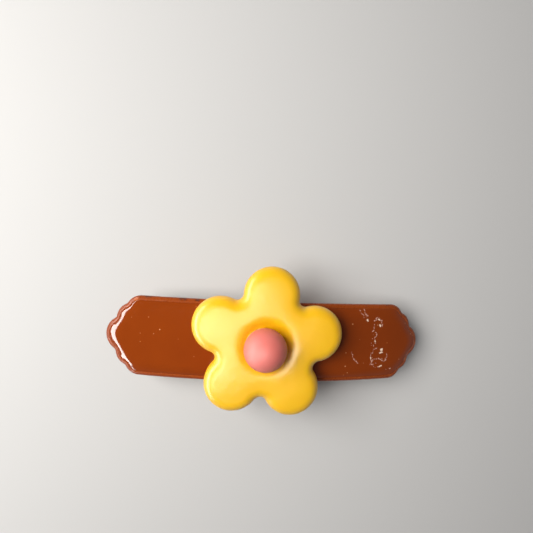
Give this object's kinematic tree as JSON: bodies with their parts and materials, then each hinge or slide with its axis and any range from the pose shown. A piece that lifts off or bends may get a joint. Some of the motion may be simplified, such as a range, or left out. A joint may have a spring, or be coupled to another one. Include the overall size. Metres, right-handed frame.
{
  "type": "hair clip",
  "caption": "Arched barrette with an enamelled bar, a moulded flower and a ball on top, and a sprung clasp arm with a pinch catch behind that clamps a lock of hair.",
  "frame": {"origin": "middle of the base strip's underside at the crown of its arch, where the hair lies", "axes": "+X along the bar from the catch end to the hinge end, +Y across the bar, +Z out through the flower"},
  "size_m": [0.0676, 0.0289, 0.0228],
  "materials": {
    "bar_paint": "gloss",
    "enamel": "gloss, domed",
    "flower": "satin",
    "ball": "satin",
    "adhesive": "clear gloss",
    "nickel": "nickel plated",
    "spring_steel": "rolled strip"
  },
  "bodies": {
    "bar": {"bar_plate": "bar_paint", "enamel_fill": "enamel", "flower_body": "flower", "ball": "ball", "ball_glue": "adhesive", "base_strip": "nickel", "base_rivets": "nickel", "bow_spring": "spring_steel", "catch_plate": "spring_steel", "catch_rivet": "nickel", "hinge_pin": "nickel"},
    "arm": {"clasp_arm": "nickel"},
    "tab_front": {"pinch_tab_front": "spring_steel"},
    "tab_back": {"pinch_tab_back": "spring_steel"}
  },
  "joints": [
    {"name": "arm_swing", "type": "hinge", "parent": "bar", "child": "arm", "pos_m": [0.02176, 0, -0.00685], "axis": [0, -1, 0], "range_deg": [0, 100]},
    {"name": "pinch_front", "type": "hinge", "parent": "bar", "child": "tab_front", "pos_m": [-0.02114, -0.00333, -0.00234], "axis": [0.9816, 0, 0.191], "range_deg": [0, 7], "stiffness_Nm_per_rad": 0.35},
    {"name": "pinch_back", "type": "hinge", "parent": "bar", "child": "tab_back", "pos_m": [-0.02114, 0.00333, -0.00234], "axis": [-0.9816, 0, -0.191], "range_deg": [0, 7], "stiffness_Nm_per_rad": 0.35}
  ]
}
